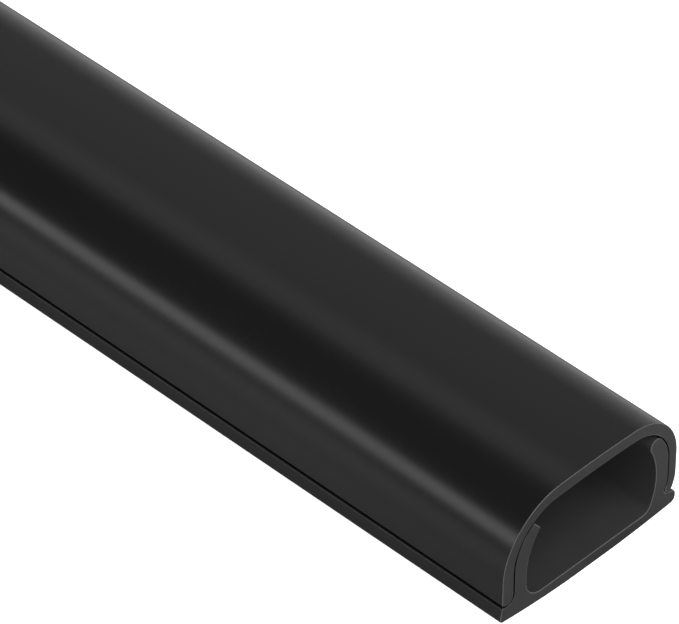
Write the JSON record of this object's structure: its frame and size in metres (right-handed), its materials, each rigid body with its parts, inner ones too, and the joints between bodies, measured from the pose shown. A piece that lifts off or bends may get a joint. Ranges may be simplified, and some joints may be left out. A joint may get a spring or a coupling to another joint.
{
  "type": "cable raceway",
  "caption": "Slim black wall raceway that hides cables: a flat-backed channel with curved arms and a D-shaped clip-on cover that slides along it.",
  "frame": {"origin": "middle of the length and of the width, on the flat land along the back that rests on the wall or floor", "axes": "+X across the width towards the hooked edge of the cover, +Y along the length, +Z out from the back towards the cover's top"},
  "size_m": [0.0202, 0.4, 0.0112],
  "materials": {
    "base_plastic": "satin black extruded PVC",
    "cover_plastic": "satin black extruded PVC"
  },
  "bodies": {
    "base": {"base_channel": "base_plastic"},
    "cover": {"lid_cover": "cover_plastic"}
  },
  "joints": [
    {"name": "cover_slide", "type": "slide", "parent": "base", "child": "cover", "axis": [0, 1, 0], "range_m": [-0.41, 0.41]}
  ]
}
